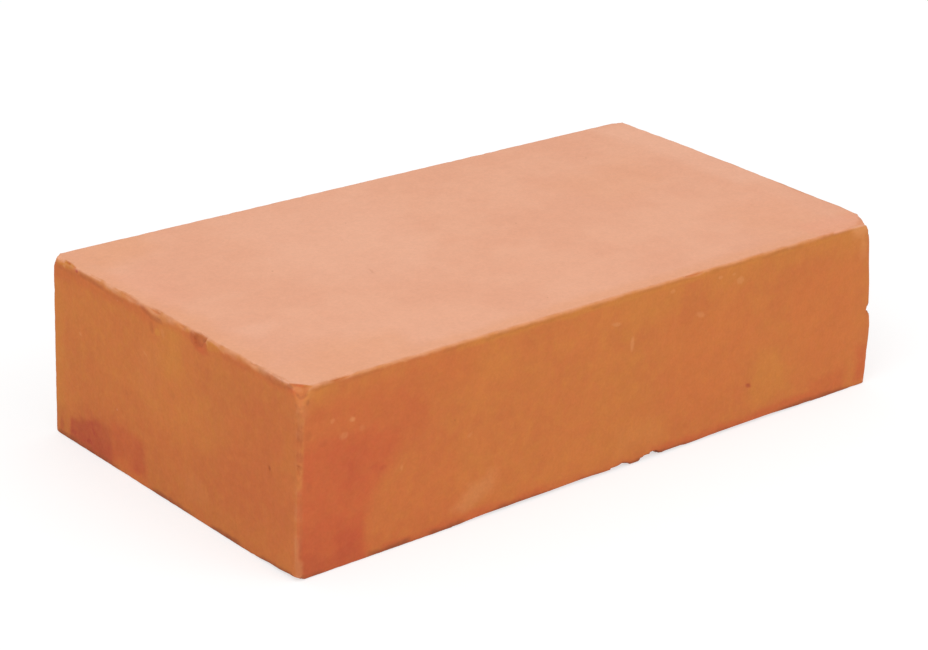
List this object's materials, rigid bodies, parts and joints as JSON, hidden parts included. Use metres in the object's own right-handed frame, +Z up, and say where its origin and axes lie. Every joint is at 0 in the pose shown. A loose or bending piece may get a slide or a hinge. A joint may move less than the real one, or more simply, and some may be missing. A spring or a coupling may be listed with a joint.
{
  "type": "clay brick",
  "caption": "Solid fired-clay building brick: a plain rectangular block with flat beds, used as a masonry unit.",
  "frame": {"origin": "centre of the lower bed face", "axes": "+X along the length, +Y across the width towards the back stretcher, +Z up from the lower bed to the upper bed"},
  "size_m": [0.24, 0.124, 0.059],
  "materials": {
    "fired_clay": "matt, fine-grained fired clay, orange-brown on the sides and paler salmon on the beds"
  },
  "bodies": {
    "root": {"brick": "fired_clay"}
  },
  "joints": []
}
